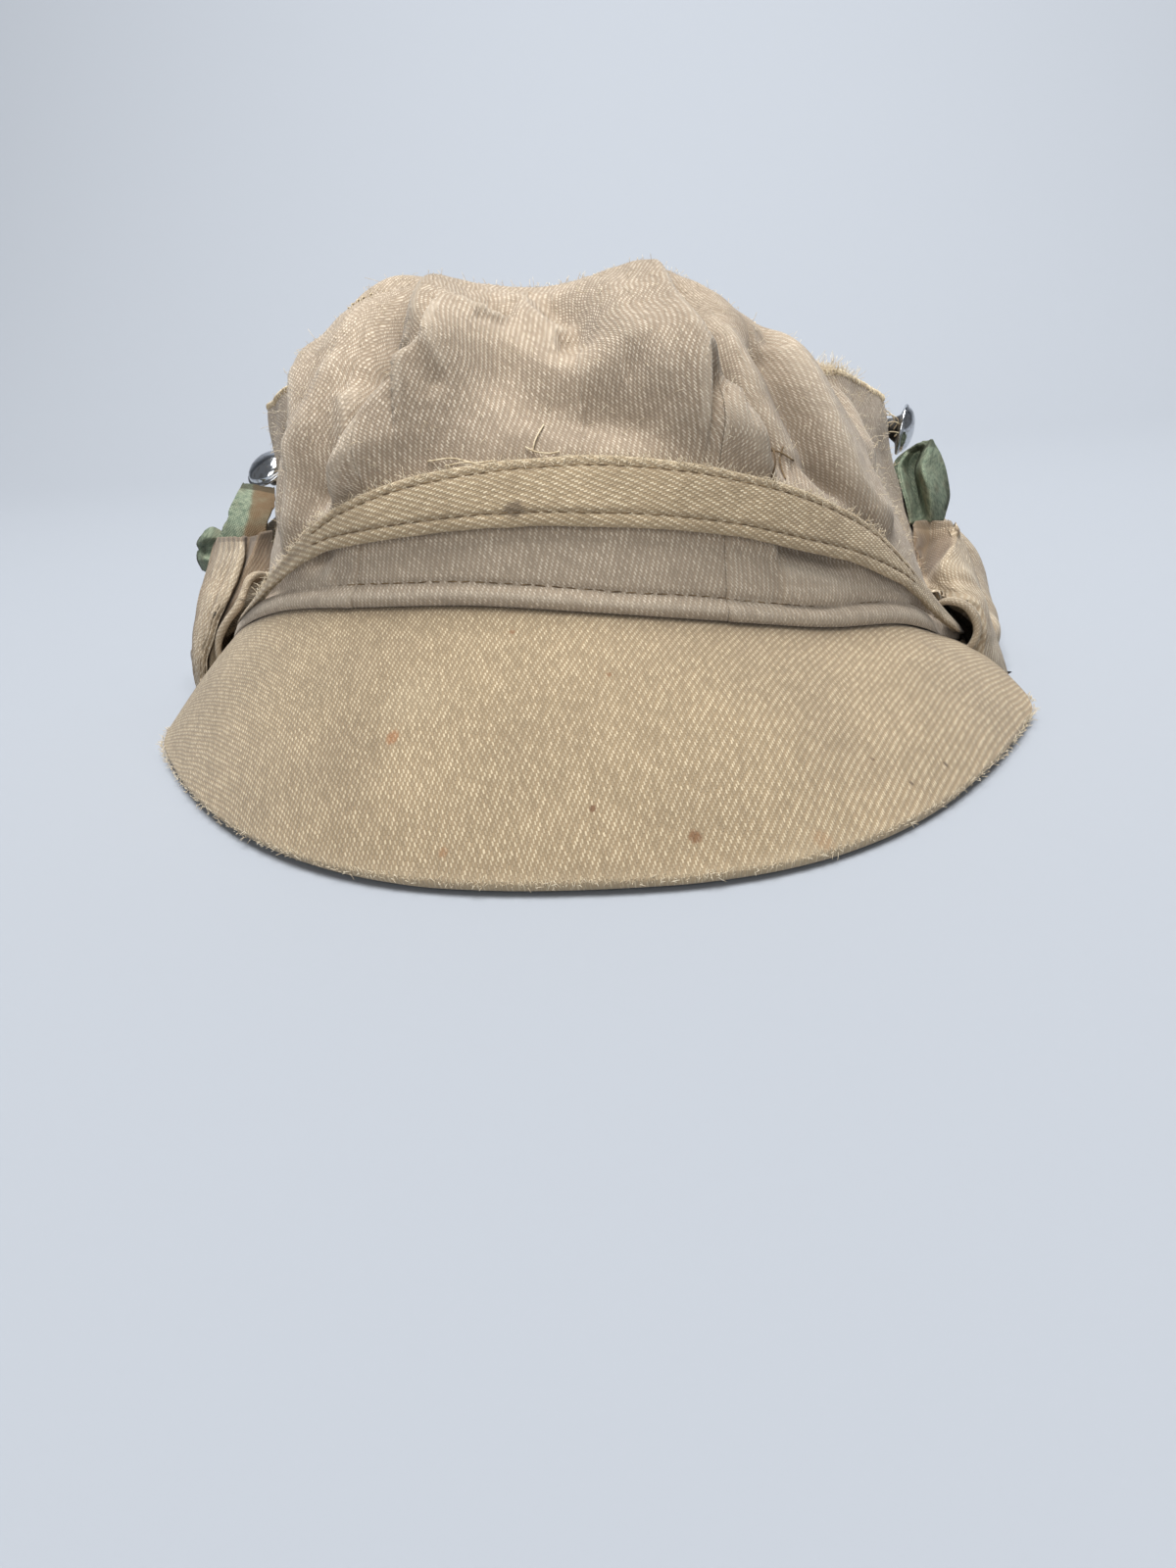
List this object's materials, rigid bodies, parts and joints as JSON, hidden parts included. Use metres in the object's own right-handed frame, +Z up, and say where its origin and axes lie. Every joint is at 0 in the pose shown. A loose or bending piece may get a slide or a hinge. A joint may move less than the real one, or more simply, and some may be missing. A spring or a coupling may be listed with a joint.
{
  "type": "soft cotton field cap",
  "caption": "Soft cotton field cap with a wide stiff peak, a topstitched strap across the front, and ear and neck flaps folded up outside and tied to side buttons.",
  "frame": {"origin": "the surface that the cap rests on, under the middle of its box; the head opening's centre is 2.2 mm towards +X and 17.6 mm towards +Y from it", "axes": "-Y towards the peak's front edge, +X towards the wearer's left, which is the right of the picture, and +Z up"},
  "size_m": [0.2131, 0.2512, 0.1007],
  "materials": {
    "crown_twill": "greyish tan cotton twill with pale flecks, worn and creased",
    "strap_twill": "tan cotton twill folded to a strap, topstitched along both edges",
    "peak_twill": "yellowish tan cotton twill over a stiff board, worn fuzzy at its edge",
    "flap_twill": "tan cotton twill, browner inside the folds",
    "tape_cotton": "grey-green cotton tape, stained brown in places",
    "button_metal": "plain domed nickel-plated metal, a little dull",
    "sewing_thread": "tan sewing thread wound round itself"
  },
  "bodies": {
    "root": {"crown_front": "crown_twill", "crown_left": "crown_twill", "crown_right": "crown_twill", "crown_top": "crown_twill", "strap": "strap_twill", "peak": "peak_twill", "flap_left": "flap_twill", "flap_right": "flap_twill", "tape_left": "tape_cotton", "tape_right": "tape_cotton", "button_left": "button_metal", "button_right": "button_metal", "shank_left": "sewing_thread", "shank_right": "sewing_thread"}
  },
  "joints": []
}
